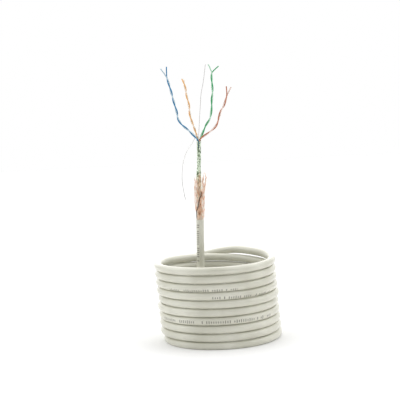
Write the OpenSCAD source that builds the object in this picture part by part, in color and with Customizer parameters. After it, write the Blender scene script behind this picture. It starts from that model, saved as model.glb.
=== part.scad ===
// Coil of shielded four-pair network cable that stands on its turns,
// with one end stripped back to show its braid, foil and twisted pairs

/* [Cable] */
// Outer diameter of the jacket
cable_d = 7; // [7:0.1:7.4]
// Wall of the jacket
jacket_wall = 0.84; // [0.7:0.02:0.86]
// Thickness of the woven copper screen
braid_wall = 0.2; // [0.12:0.02:0.2]
// Thickness of the foil screen
foil_wall = 0.05; // [0.03:0.01:0.06]
// Diameter of one insulated wire
wire_d = 1; // [0.92:0.02:1]
// Diameter of the copper inside a wire
conductor_d = 0.5; // [0.4:0.02:0.54]
// Diameter of the bare drain wire
drain_d = 0.5; // [0.4:0.05:0.5]
// Diameter of the rip cord
rip_d = 0.5; // [0.4:0.05:0.5]

/* [Coil] */
// Number of turns in the stack
turns = 10; // [8:1:10]
// Diameter at the middle of a turn
coil_mid_d = 102.6; // [101:0.2:104]
// Room between a turn and the next
turn_room = 0.25; // [0.25:0.05:0.4]
// Lean of the stack to the left, degrees
coil_lean = 3.2; // [0:0.1:4]
// How far the first turn draws in at its start
start_tuck = 2.6; // [2:0.1:3]
// Depth of the flat that the first turn stands on
flat_cut = 0.7; // [0.6:0.05:0.8]

/* [Stripped end] */
// Height of the cut across the jacket
jacket_cut_z = 107.8; // [100:0.2:112]
// Lean of the standing end to the right, degrees
riser_lean = 1.8; // [1.4:0.1:2.2]
// Height of the foil's open mouth
foil_top_z = 177.5; // [176:0.5:178]
// Length of braid left whole above the jacket
braid_stub = 0.5; // [0.5:0.5:2]
// Length of the longest combed strand
strand_length = 45; // [36:1:47]
// Number of combed strands
strand_count = 34; // [17:17:34]

/* [Hidden] */
$fn = 48;

ivory = "#CFCDBF";
copper = "#C98A68";
foil_grey = "#A9B0A4";
wire_white = "#EDE9E2";

// Cable layers from the inside out: the pairs lie two by two, so the foil round them is oval
wire_gap = 0.03;
wire_sides = 8;
hole_sides = 4;
wire_step = 1.8;
steepest_twist = 28;
function corner_r(r, sides) = r * sqrt(2 * PI / (sides * sin(360 / sides)));
wire_corner = corner_r(wire_d / 2, wire_sides);
hole_corner = conductor_d / 2 + wire_gap;
pair_r = wire_corner / cos(steepest_twist * wire_step / 2) + wire_gap / 2;
pair_seat = wire_d * [0.72, 1.13];
seat_turn = 76;
middle_seat = [0, 0.3, 0];
foil_half = wire_d * [1.48, 2.32];
foil_square = 3.2;
foil_spiral = foil_wall + 0.01;
foil_lap = 400;
foil_reach = foil_half.y + foil_wall + foil_spiral * foil_lap / 360;
braid_r = foil_reach + 0.03;
bore_r = cable_d / 2 - jacket_wall;
braid_out_r = min(braid_r + braid_wall, bore_r - 0.02);

// Coil
cord_sides = 8;
cord_corner = corner_r(cable_d / 2, cord_sides);
cord_flat = cord_corner * cos(180 / cord_sides);
rings_per_turn = 30;
pitch = cable_d + turn_room;
coil_r = coil_mid_d / 2;
floor_z = cord_flat - flat_cut;
axis_x = 1.8;
axis_y = -3.6;
first_u = -0.25;
level_part = 0.25;
ring_count = round((turns - 0.38 - first_u) * rings_per_turn);
// Turns that sit a little to one side, and how far
sway = [[4, -0.8], [5, 1.1]];
sway_reach = 0.6;

// The last turn lifts off at the right, rolls over the turn below and drops behind it
lift_u = turns - 0.765;
lift_done_u = turns - 0.655;
roll_u = turns - 0.625;
roll_done_u = turns - 0.435;
drop_u = turns - 0.48;
lift_room = cable_d + 1.1;
drop_rate = 800;
tail_length = 6;

// Standing end
riser_x = -13.3;
riser_y = -3;
riser_foot_z = 71;

// Route of the cable from the first turn, round the floor inside the coil and up
lead_route = [
    [-38.5, 22, floor_z], [-31, 29.5, floor_z], [-21.5, 34.5, floor_z], [-11, 37, floor_z],
    [0, 37.5, floor_z], [11, 36, floor_z], [21, 32, floor_z], [30, 25.5, floor_z],
    [36.5, 16.5, floor_z], [40, 6, floor_z], [40.5, -5, 3], [38, -15.5, 4],
    [32.5, -25, 6], [24, -32, 9], [13.5, -35.5, 13], [3, -34.5, 18.5],
    [-6, -30, 25.5], [-12, -22.5, 33], [-14.8, -14, 42], [-15.4, -7, 52]
];

// Routes of the four pairs above the foil, and of the two thin strands
blue_route = [
    [-12.3, -4.2, 180], [-14.6, -4.1, 183], [-19.5, -4.5, 188.5], [-25, -6, 193.5], [-28.5, -7.5, 199],
    [-29.5, -9, 205.5], [-32, -12.5, 216.5], [-33.5, -14.5, 223.5], [-36, -18.5, 234], [-39, -22, 244.5]
];
orange_route = [
    [-12.2, -1.8, 180.5], [-14, 0, 189], [-16.5, 2, 196], [-18, 4, 203], [-18.5, 6.5, 211.5],
    [-20, 9.5, 219.5], [-21, 12, 226.5], [-23, 15.5, 235.5]
];
green_route = [
    [-9.9, -1.8, 180.5], [-7, -0.5, 186.5], [-4, 1, 192.5], [-0.5, 2.5, 197.5], [1, 4, 202.5],
    [2, 6, 209], [2.5, 8, 215.5], [3.5, 10.5, 223], [3.5, 16.5, 238], [5.5, 19.5, 247]
];
brown_route = [
    [-9.9, -4.2, 180], [-6.5, -4, 183], [-3, -4, 185], [0.5, -4.5, 187.5], [4, -5.5, 190.5],
    [6.5, -6.5, 194.5], [8, -7.5, 199.5], [10, -9, 205], [12.5, -10.5, 209], [14.5, -12, 214.5],
    [16, -13.5, 219], [17.5, -16, 225.5]
];
rip_route = [
    [-10.9, -2.7, 181.5], [-10.8, -2.5, 185], [-9.5, -1.5, 198.5], [-8, -0.5, 212.5], [-7, 0, 221],
    [-5, 0.5, 229.5], [-3.5, 1, 237.5], [-2, 2, 247]
];
drain_route = [
    [-11.1, -3.3, 180], [-11.5, -3, 182.2], [-12.4, -2.7, 183.9], [-13.6, -2.5, 184.1], [-14.6, -2.6, 182.7],
    [-15.3, -2.9, 180.6], [-16.4, -3.2, 178.2], [-18.2, -3.5, 175.6], [-20.8, -4, 172.5], [-24.5, -5.5, 165],
    [-26.5, -7, 157.5], [-27.5, -8, 149.5], [-27.5, -9.5, 141.5], [-26, -11.5, 130.5], [-25, -12, 127]
];

// Twist of each pair: angle of its coloured wire at distances below the fork, held inside the foil
blue_twist = [[-2.8, 0], [1.5, 90], [19.5, 450], [38, 810], [55, 1170], [66, 4 * 360 - seat_turn]];
orange_twist = [[-1.7, 230], [8, 450], [25.5, 810], [41.5, 1170], [54, 4 * 360 + seat_turn]];
green_twist = [[-2.4, 0], [0.5, 90], [20, 450], [44, 810], [66, 3.5 * 360 - seat_turn]];
brown_twist = [[-2.4, 180], [14.5, 450], [38.5, 810], [48.5, 2.5 * 360 + seat_turn]];

// Each pair: side of its seat, spread of its two tips, length of the fork, twist, route
blue_pair = [[-1, -1], 2.8, 8, blue_twist, blue_route];
orange_pair = [[-1, 1], 1.3, 5, orange_twist, orange_route];
green_pair = [[1, 1], 4.8, 7, green_twist, green_route];
brown_pair = [[1, -1], 2.2, 7, brown_twist, brown_route];

// Clumps of combed strands: share of them all, in front (-1) or behind (1), length as a share of the longest,
// then the left and the right edge of the clump at heights above the braid
strand_clumps = [
    [12 / 34, -1, 1,
        [[0, -0.15], [8, -1.8], [15, -1.4], [21, 0.1], [27, 2], [45, 3.2]],
        [[0, 2.52], [8, 3.7], [15, 4.2], [21, 4.7], [27, 5.2], [45, 6.4]]],
    [5 / 34, -1, 0.98,
        [[0, -1.6], [8, -3], [15, -3], [21, -2.9], [27, -2.6], [34, -2.2], [45, -1.2]],
        [[0, -0.25], [8, -1.9], [15, -1.6], [21, -0.2], [27, 1.5], [45, 1]]],
    [6 / 34, -1, 0.92,
        [[0, -2.52], [4, -3.75], [8, -4.4], [14, -4.8], [42, -5.6]],
        [[0, -1.68], [4, -2.45], [8, -3.1], [30, -3], [42, -4]]],
    [11 / 34, 1, 0.95,
        [[0, -2.4], [20, -2.8], [45, -2.4]],
        [[0, 2.4], [20, 3.8], [45, 4.2]]]
];

// Paths and tubes

function unit(v) = v / norm(v);

// Direction of a path at each of its points
function directions(p) = let (last = len(p) - 1)
    [for (i = [0:last]) unit(p[min(i + 1, last)] - p[max(i - 1, 0)])];

// Side directions that stay as near as they can to one direction
function held_sides(t, side) = [for (d = t) unit(side - (side * d) * d)];

// Side directions carried along a path without twist
function carried_sides(t, side, i = 0) = i == len(t) ? [] :
    let (n = unit(side - (side * t[i]) * t[i]))
    concat([n], carried_sides(t, n, i + 1));

// Rings of points round a path, with a flat towards each side direction
function rings(p, t, n, r, sides) = [
    for (i = [0:len(p) - 1], k = [0:sides - 1])
    let (a = 360 * (k + 0.5) / sides)
    p[i] + r * (cos(a) * n[i] + sin(a) * cross(t[i], n[i]))
];

// Triangles between rings, facing out, or in for the wall of a hole
function skin(count, sides, from = 0, inward = false) = [
    for (i = [0:count - 2], k = [0:sides - 1])
    let (
        a = from + i * sides + k,
        b = from + i * sides + (k + 1) % sides,
        c = b + sides,
        d = a + sides
    )
    each inward ? [[a, c, d], [a, b, c]] : [[a, d, c], [a, c, b]]
];

// Solid tube through rings of points
module tube(points, sides) {
    count = len(points) / sides;
    foot = [for (k = [0:sides - 1]) k];
    head = [for (k = [sides - 1:-1:0]) (count - 1) * sides + k];
    polyhedron(points, concat([foot], skin(count, sides), [head]));
}

// Hollow tube through outer and inner rings of points, with half as many sides inside
module pipe(outer, inner) {
    count = len(outer) / wire_sides;
    shift = len(outer);
    top = (count - 1) * wire_sides;
    top_hole = shift + (count - 1) * hole_sides;
    rims = [
        for (k = [0:hole_sides - 1])
        let (
            a = 2 * k,
            b = a + 1,
            c = (a + 2) % wire_sides,
            j = (k + 1) % hole_sides
        )
        each [
            [a, b, shift + k], [b, c, shift + j], [b, shift + j, shift + k],
            [top + a, top_hole + k, top + b], [top + b, top_hole + j, top + c],
            [top + b, top_hole + k, top_hole + j]
        ]
    ];
    faces = concat(skin(count, wire_sides), skin(count, hole_sides, shift, true), rims);
    polyhedron(concat(outer, inner), faces);
}

// Point of a smooth curve through four neighbours, from the second to the third
function curve_point(a, b, c, d, s) = 0.5 * (
    2 * b + (c - a) * s + (2 * a - 5 * b + 4 * c - d) * s * s + (3 * b - a - 3 * c + d) * s * s * s
);

// Smooth curve through a list of points, sampled about every step
function smooth(p, step) = let (last = len(p) - 1) concat(
    [
        for (i = [0:last - 1])
        let (count = max(1, round(norm(p[i + 1] - p[i]) / step)))
        for (j = [0:count - 1])
        curve_point(p[max(i - 1, 0)], p[i], p[i + 1], p[min(i + 2, last)], j / count)
    ],
    [p[last]]
);

function ease(s) = let (c = min(max(s, 0), 1)) c * c * (3 - 2 * c);

// Coil

// Climb of the stack: level from the left to the front, then one pitch over the rest of the turn
function climb(u) =
    let (
        k = floor(u - first_u),
        s = max(0, (u - first_u - k - level_part) / (1 - level_part))
    )
    pitch * (k + s - sin(360 * s) / (2 * PI));

function outward(u) = [sin(360 * u), -cos(360 * u), 0];

// Sideways place of a turn in the stack
function aside(u) = [for (s = sway) s[1]] * [for (s = sway) 1 - ease(abs(u - s[0]) / sway_reach)];

// Middle of the cable at u turns after the front of the first turn
function wound_point(u) =
    let (
        z = floor_z + climb(max(u, first_u)),
        r = coil_r - start_tuck * pow(min(u, 0) / first_u, 2)
    )
    [axis_x - tan(coil_lean) * z + aside(u), axis_y, z] + r * outward(u);

// Middle of the last turn, told by its place on the turn below
function tail_point(u) =
    let (
        room = pitch + (lift_room - pitch) * ease((u - lift_u) / (lift_done_u - lift_u)),
        roll = 90 * (1 - ease((u - roll_u) / (roll_done_u - roll_u))),
        drop = drop_rate * pow(max(0, u - drop_u), 2)
    )
    wound_point(u - 1) + room * cos(roll) * outward(u) + [0, 0, room * sin(roll) - drop];

turn_points = [
    for (i = [0:ring_count])
    let (u = first_u + i / rings_per_turn)
    u > lift_u ? tail_point(u) : wound_point(u)
];
coil_start_dir = unit(turn_points[0] - turn_points[1]) * [[1, 0, 0], [0, 1, 0], [0, 0, 0]];
coil_start = turn_points[0] + cable_d * unit(coil_start_dir);
coil_end_dir = unit(turn_points[ring_count] - turn_points[ring_count - 1]);
coil_end = turn_points[ring_count] + cable_d * coil_end_dir;
coil_path = concat([coil_start], turn_points, [coil_end]);

// Points are kept on or above the floor, which leaves the flat that the coil stands on
function on_floor(points) = [for (p = points) [p.x, p.y, max(p.z, 0)]];
function cord_rings(path, sides_dir) =
    on_floor(rings(path, directions(path), sides_dir, cord_corner, cord_sides));

coil_rings = cord_rings(coil_path, held_sides(directions(coil_path), [0, 0, 1]));

// Least distance from a ring's points to those of the rings one turn on
function least_gap(points, sides, ahead) = min([
    for (i = [0:len(points) / sides - ahead - 2], k = [0:sides - 1], m = [-1:1], j = [0:sides - 1])
    norm(points[i * sides + k] - points[(i + ahead + m) * sides + j])
]);

module coil_jacket() {
    echo(str("least gap of the coil to itself, mm: ", least_gap(coil_rings, cord_sides, rings_per_turn)));
    color(ivory) tube(coil_rings, cord_sides);
}

// Standing end

riser_dir = [sin(riser_lean), 0, cos(riser_lean)];
function riser_point(z) = [riser_x + tan(riser_lean) * (z - jacket_cut_z), riser_y, z];
riser_foot = riser_point(riser_foot_z);

module along_riser() {
    translate(riser_foot) rotate([0, riser_lean, 0]) children();
}
function riser_height(z) = (z - riser_foot_z) / cos(riser_lean);

module ring_tube(h, r_out, r_in) {
    overshoot = 1;
    difference() {
        cylinder(h = h, r = r_out);
        translate([0, 0, -overshoot]) cylinder(h = h + 2 * overshoot, r = r_in);
    }
}

module lead_in_jacket() {
    path = concat(
        [coil_start, coil_start + cable_d * unit(coil_start_dir)],
        lead_route,
        [riser_foot - cable_d * riser_dir, riser_foot]
    );
    color(ivory) tube(cord_rings(path, carried_sides(directions(path), [0, 0, 1])), cord_sides);
}

module riser_jacket() {
    color(ivory) along_riser() ring_tube(riser_height(jacket_cut_z), cable_d / 2, bore_r);
}

// Shields

module braid_sleeve() {
    color(copper) along_riser() ring_tube(riser_height(jacket_cut_z + braid_stub), braid_out_r, braid_r);
}

// A combed strand leaves the end of the braid and keeps its place across its clump, clear of the foil
strand_heights = [0, 0.09, 0.2, 0.36, 0.55, 0.7];
strand_uneven = 0.12;
function strand_path(clump, share) =
    let (
        base = riser_height(jacket_cut_z + braid_stub),
        longest = strand_length * clump[2],
        tip = 1 - strand_uneven * (1 - sin(900 * share)),
        braid_mid = (braid_r + braid_out_r) / 2,
        clear_y = foil_reach + 0.35,
        side_fall = 12
    )
    [
        for (s = [each strand_heights, tip])
        let (
            h = longest * s,
            left = lookup(h, clump[3]),
            x = left + (lookup(h, clump[4]) - left) * share,
            at_braid = sqrt(max(0, pow(braid_mid, 2) - pow(x, 2))),
            y = at_braid + (clear_y * cos(side_fall * x) - at_braid) * ease(s / strand_heights[1])
        )
        [x, clump[1] * y, base + h]
    ];

module braid_strands() {
    strand_corner = 0.1;
    strand_sides = 3;
    color(copper) along_riser() for (clump = strand_clumps) {
        count = round(clump[0] * strand_count);
        for (i = [0:count - 1]) {
            path = strand_path(clump, (i + 0.5) / count);
            t = [for (p = path) [0, 0, 1]];
            tube(rings(path, t, held_sides(t, [0, clump[1], 0]), strand_corner, strand_sides), strand_sides);
        }
    }
}

// Section of the foil: an oval with flat sides, grown by a wall and by the spiral of its lap
function foil_oval(a) =
    let (
        across = pow(abs(cos(a)) / foil_half.x, foil_square),
        deep = pow(abs(sin(a)) / foil_half.y, foil_square)
    )
    pow(across + deep, -1 / foil_square);
function foil_outline(lap, spiral, wall) =
    [for (a = [0:10:lap]) (foil_oval(a) + wall + spiral * a / 360) * [cos(a), sin(a)]];
function reversed(list) = [for (i = [len(list) - 1:-1:0]) list[i]];

// The foil is one strip, wrapped with its edges lapped, and torn on the slant at its mouth
module foil_shield() {
    tear_angle = 24;
    h = riser_height(foil_top_z);
    outline = concat(
        foil_outline(foil_lap, foil_spiral, 0),
        reversed(foil_outline(foil_lap, foil_spiral, foil_wall))
    );
    color(foil_grey) along_riser() difference() {
        linear_extrude(height = h) polygon(outline);
        translate([0, 0, h]) rotate([0, -tear_angle, 0]) translate([-cable_d, -cable_d, 0]) cube(2 * cable_d);
    }
}

// Wires

// Path straight up through the foil at a seat, then along a route
function stripped_path(seat, route, step) =
    let (still = 5)
    concat(
        [riser_foot + seat],
        smooth(concat([riser_point(foil_top_z - still) + seat, riser_point(foil_top_z) + seat], route), step)
    );

// Middle of a pair
function pair_path(pair) =
    stripped_path([pair[0].x * pair_seat.x, pair[0].y * pair_seat.y, 0], pair[4], wire_step);

// Length of a path from one of its points to its end
function length_after(p, i) = i >= len(p) - 1 ? 0 : norm(p[i + 1] - p[i]) + length_after(p, i + 1);

// Wires of a pair wind round its middle and part in a V at their tips
function wire_path(pair, turn) =
    let (
        p = pair_path(pair),
        t = directions(p),
        n = held_sides(t, [1, 0, 0])
    )
    [
        for (i = [0:len(p) - 1])
        let (
            below_fork = length_after(p, i) - pair[2],
            apart = min(max(-below_fork / pair[2], 0), 1),
            a = turn + lookup(below_fork, pair[3]),
            r = pair_r + (pair[1] - pair_r) * pow(apart, 1.3)
        )
        p[i] + r * (cos(a) * n[i] + sin(a) * cross(t[i], n[i]))
    ];

module insulation(pair, turn) {
    path = wire_path(pair, turn);
    t = directions(path);
    n = held_sides(t, [1, 0, 0]);
    pipe(rings(path, t, n, wire_corner, wire_sides), rings(path, t, n, hole_corner, hole_sides));
}

module conductor(pair, turn) {
    path = wire_path(pair, turn);
    t = directions(path);
    color(copper) tube(rings(path, t, held_sides(t, [1, 0, 0]), conductor_d / 2, hole_sides), hole_sides);
}

module blue_insulation() { color("#3F76B0") insulation(blue_pair, 0); }
module blue_mate_insulation() { color(wire_white) insulation(blue_pair, 180); }
module blue_conductor() { conductor(blue_pair, 0); }
module blue_mate_conductor() { conductor(blue_pair, 180); }
module orange_insulation() { color("#DE8A4E") insulation(orange_pair, 0); }
module orange_mate_insulation() { color(wire_white) insulation(orange_pair, 180); }
module orange_conductor() { conductor(orange_pair, 0); }
module orange_mate_conductor() { conductor(orange_pair, 180); }
module green_insulation() { color("#3FA070") insulation(green_pair, 0); }
module green_mate_insulation() { color(wire_white) insulation(green_pair, 180); }
module green_conductor() { conductor(green_pair, 0); }
module green_mate_conductor() { conductor(green_pair, 180); }
module brown_insulation() { color("#A86650") insulation(brown_pair, 0); }
module brown_mate_insulation() { color(wire_white) insulation(brown_pair, 180); }
module brown_conductor() { conductor(brown_pair, 0); }
module brown_mate_conductor() { conductor(brown_pair, 180); }

// Thin strands that leave the foil with the pairs
module thin_strand(seat, route, d) {
    sides = 8;
    step = 2.4;
    path = stripped_path(seat, route, step);
    t = directions(path);
    tube(rings(path, t, carried_sides(t, [0, 1, 0]), d / 2, sides), sides);
}

module drain_wire() {
    color("#C9C6C0") thin_strand(-middle_seat, drain_route, drain_d);
}

module rip_cord() {
    color("#E8E6E0") thin_strand(middle_seat, rip_route, rip_d);
}

// Cut end of the cable behind the coil, with its layers flush

module along_tail() {
    translate(coil_end)
    rotate([0, acos(coil_end_dir.z), atan2(coil_end_dir.y, coil_end_dir.x)])
    children();
}

module at_wire_seats() {
    apart = pair_r * [-cos(seat_turn), sin(seat_turn)];
    for (sx = [-1, 1], sy = [-1, 1], side = [-1, 1])
    translate([sx * (pair_seat.x + side * apart.x), sy * (pair_seat.y + side * apart.y), 0])
    children();
}

module tail_jacket() { color(ivory) along_tail() ring_tube(tail_length, cable_d / 2, bore_r); }
module tail_braid() { color(copper) along_tail() ring_tube(tail_length, braid_out_r, braid_r); }
module tail_foil() {
    color(foil_grey) along_tail() linear_extrude(height = tail_length) difference() {
        polygon(foil_outline(350, 0, foil_wall));
        polygon(foil_outline(350, 0, 0));
    }
}
module tail_insulation() {
    color(wire_white) along_tail() at_wire_seats() ring_tube(tail_length, wire_d / 2, hole_corner);
}
module tail_conductors() {
    color(copper) along_tail() at_wire_seats() cylinder(h = tail_length, d = conductor_d);
}

coil_jacket();
lead_in_jacket();
riser_jacket();
tail_jacket();
braid_sleeve();
braid_strands();
foil_shield();
drain_wire();
rip_cord();
blue_insulation();
blue_mate_insulation();
blue_conductor();
blue_mate_conductor();
orange_insulation();
orange_mate_insulation();
orange_conductor();
orange_mate_conductor();
green_insulation();
green_mate_insulation();
green_conductor();
green_mate_conductor();
brown_insulation();
brown_mate_insulation();
brown_conductor();
brown_mate_conductor();
tail_braid();
tail_foil();
tail_insulation();
tail_conductors();
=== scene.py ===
# Coil of shielded network cable with one end stripped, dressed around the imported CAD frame
import math

import bpy
import numpy as np
from mathutils import Matrix


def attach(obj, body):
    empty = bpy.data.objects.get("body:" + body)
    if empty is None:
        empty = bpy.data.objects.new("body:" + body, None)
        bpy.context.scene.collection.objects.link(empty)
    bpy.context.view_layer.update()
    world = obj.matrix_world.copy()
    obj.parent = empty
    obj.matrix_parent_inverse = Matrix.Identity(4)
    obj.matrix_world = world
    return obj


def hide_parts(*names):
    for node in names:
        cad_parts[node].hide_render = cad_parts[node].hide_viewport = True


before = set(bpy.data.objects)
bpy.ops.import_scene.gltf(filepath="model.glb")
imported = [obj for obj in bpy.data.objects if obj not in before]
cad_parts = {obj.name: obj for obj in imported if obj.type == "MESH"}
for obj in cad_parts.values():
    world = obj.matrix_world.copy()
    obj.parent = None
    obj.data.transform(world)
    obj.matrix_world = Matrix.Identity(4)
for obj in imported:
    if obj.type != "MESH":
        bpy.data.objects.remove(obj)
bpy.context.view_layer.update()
mm = 0.001
fullTurn = 2 * math.pi
print("frame loaded:", len(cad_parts), "CAD nodes")

# Camera: a long lens a little above the stack, rolled as the photograph is
viewpoint = {
    "target": (-12.5, -3.5, 125.65),  # mm, seen at the middle of the picture
    "distance": 906.25,  # mm
    "lookDown": 4.32,  # degrees
    "roll": 2.71,  # degrees
    "lens": 90.4, "sensor": 36.0,  # mm
    "clip": (0.05, 50.0),  # m
}


def placeCamera(v):  # back from the target along the line of sight, then turned about that line by the roll
    down = math.radians(v["lookDown"])
    roll = math.radians(v["roll"])
    ahead = np.array([0.0, math.cos(down), -math.sin(down)])
    level = np.array([1.0, 0.0, 0.0])
    above = np.array([0.0, math.sin(down), math.cos(down)])
    right = math.cos(roll) * level - math.sin(roll) * above
    top = math.sin(roll) * level + math.cos(roll) * above
    spot = (np.array(v["target"]) - v["distance"] * ahead) * mm
    data = bpy.data.cameras.new("photoCamera")
    data.lens = v["lens"]
    data.sensor_width = v["sensor"]
    data.clip_start, data.clip_end = v["clip"]
    camera = bpy.data.objects.new("photoCamera", data)
    rows = [[right[i], top[i], -ahead[i], spot[i]] for i in range(3)]
    camera.matrix_world = Matrix(rows + [[0, 0, 0, 1]])
    bpy.context.scene.collection.objects.link(camera)
    bpy.context.scene.camera = camera


placeCamera(viewpoint)
print("camera placed")


# Shapes: every piece is a grid of rings, worked out as whole arrays

def unit(v):  # a vector divided by its own length
    return v / np.linalg.norm(v, axis=-1, keepdims=True)


def distanceAlong(path):  # running sum of the lengths between a path's points
    return np.concatenate([[0.0], np.cumsum(np.linalg.norm(np.diff(path, axis=0), axis=1))])


def pointsAt(path, s):  # points of a path at the given distances along it
    d = distanceAlong(path)
    return np.stack([np.interp(s, d, path[:, i]) for i in range(3)], axis=1)


def evenly(path, step):  # the same path in equal steps, as near to the given one as its length allows
    total = distanceAlong(path)[-1]
    return pointsAt(path, np.linspace(0.0, total, max(2, round(total / step) + 1)))


spanSteps = 12  # points of a smooth curve in each span


def smoothThrough(knots):  # Catmull-Rom curve: a cubic in each span, from its four nearest knots
    k = np.array(knots, float)
    k = np.concatenate([[2 * k[0] - k[1]], k, [2 * k[-1] - k[-2]]])
    a, b, c, d = k[:-3, None], k[1:-2, None], k[2:-1, None], k[3:, None]
    t = np.linspace(0.0, 1.0, spanSteps, endpoint=False)[None, :, None]
    curve = 0.5 * (2 * b + (c - a) * t + (2 * a - 5 * b + 4 * c - d) * t**2 + (3 * b - a - 3 * c + d) * t**3)
    return np.concatenate([curve.reshape(-1, 3), k[-2:-1]])


def squareTo(t, side):  # what is left of a side direction when its part along the tangent is taken away
    return unit(side - (side * t).sum(1, keepdims=True) * t)


def crossAxes(path, sideways):  # two axes across a path: one kept near the given direction, and the third
    t = unit(np.gradient(path, axis=0))
    n = squareTo(t, np.broadcast_to(np.asarray(sideways, float), path.shape))
    return n, np.cross(t, n)


def ringsOn(path, n, b, radius, sides):  # circle of a radius that may vary, in the plane of two axes
    a = fullTurn * np.arange(sides) / sides
    r = np.broadcast_to(np.asarray(radius, float), (len(path), sides))[:, :, None]
    return path[:, None] + r * (np.cos(a)[None, :, None] * n[:, None] + np.sin(a)[None, :, None] * b[:, None])


def ringGrid(path, sideways, radius, sides):  # the same circle, carried square to a path
    return ringsOn(path, *crossAxes(path, sideways), radius, sides)


def gridFaces(rings, sides, closed=True):  # corner numbers of a grid's quads, wound to face outwards
    i, k = np.meshgrid(np.arange(rings - 1), np.arange(sides if closed else sides - 1), indexing="ij")
    j = (k + 1) % sides
    corners = [i * sides + k, i * sides + j, (i + 1) * sides + j, (i + 1) * sides + k]
    return np.stack(corners, axis=-1).reshape(-1, 4)


def gridUv(along, sides):  # distance along in mm and share of the way round, for each corner of a quad
    i, k = np.meshgrid(np.arange(len(along) - 1), np.arange(sides), indexing="ij")
    s0, s1, v0, v1 = along[i], along[i + 1], k / sides, (k + 1) / sides
    corners = [np.stack(c, axis=-1) for c in ((s0, v0), (s0, v1), (s1, v1), (s1, v0))]
    return np.stack(corners, axis=2).reshape(-1, 2)


def addPiece(name, points, quads, uv, material, caps=()):  # points in mm; caps are lists of corner numbers
    mesh = bpy.data.meshes.new(name)
    mesh.from_pydata((points.reshape(-1, 3) * mm).tolist(), [], quads.tolist() + [list(c) for c in caps])
    corners = np.zeros((len(mesh.loops), 2), np.float32)
    corners[: len(uv)] = uv
    mesh.uv_layers.new(name="alongAndRound").data.foreach_set("uv", corners.ravel())
    mesh.polygons.foreach_set("use_smooth", np.ones(len(mesh.polygons), bool))
    mesh.update()
    mesh.materials.append(material)
    piece = bpy.data.objects.new(name, mesh)
    bpy.context.scene.collection.objects.link(piece)
    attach(piece, "root")
    return piece


def addTube(name, grid, along, material):  # closed tube from a grid of rings, with flat ends
    rings, sides = grid.shape[:2]
    first = np.arange(sides)[::-1]
    last = (rings - 1) * sides + np.arange(sides)
    return addPiece(name, grid, gridFaces(rings, sides), gridUv(along, sides), material, (first, last))


# Materials

def linear(code):  # sRGB hex to linear colour
    c = [int(code[i:i + 2], 16) / 255 for i in (1, 3, 5)]
    return tuple(x / 12.92 if x <= 0.04045 else ((x + 0.055) / 1.055) ** 2.4 for x in c) + (1.0,)


def addNode(tree, kind, inputs=None, stops=(), **settings):  # one node with its settings, values and links
    node = tree.nodes.new(kind)
    for key, value in settings.items():
        setattr(node, key, value)
    for socket, value in (inputs or {}).items():
        if isinstance(value, bpy.types.Node):
            value = next(o for o in value.outputs if o.enabled)
        if isinstance(value, bpy.types.NodeSocket):
            tree.links.new(value, node.inputs[socket])
        else:
            node.inputs[socket].default_value = value
    for i, (place, code) in enumerate(stops):  # colours along a ramp, as hex codes
        element = node.color_ramp.elements[i] if i < 2 else node.color_ramp.elements.new(place)
        element.position = place
        element.color = linear(code)
    return node


def emptyMaterial(name):  # a material with nothing in it yet, and its tree
    material = bpy.data.materials.new(name)
    material.use_nodes = True
    material.node_tree.nodes.clear()
    return material, material.node_tree


# Jacket: extruded PVC, satin, with a fine orange peel and a faint line of printed length ticks
jacketLook = {
    "tones": [(0.3, "#D0CFC0"), (0.5, "#D9D8CA"), (0.7, "#E1E0D3")],  # dull to pale ivory
    "cloud": 30.0,  # mm, size of the drift in colour
    "peel": 0.5, "peelDepth": 0.02,  # mm, the extruder's orange peel
    "ink": "#5C5A50", "wear": 0.8,  # how much of the ink is left
    "tick": 1.9, "tickWidth": 0.8, "group": 16.0,  # mm along the cable
    "tickSoft": 0.4,  # share of a tick's width that is soft
    "tickHalf": (0.6, 1.5), "edgeSoft": 0.15,  # mm round the cable: least and most half height, soft edge
    "missing": (0.1, 0.18),  # share of the groups, and of the ticks, that is left out
}


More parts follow.
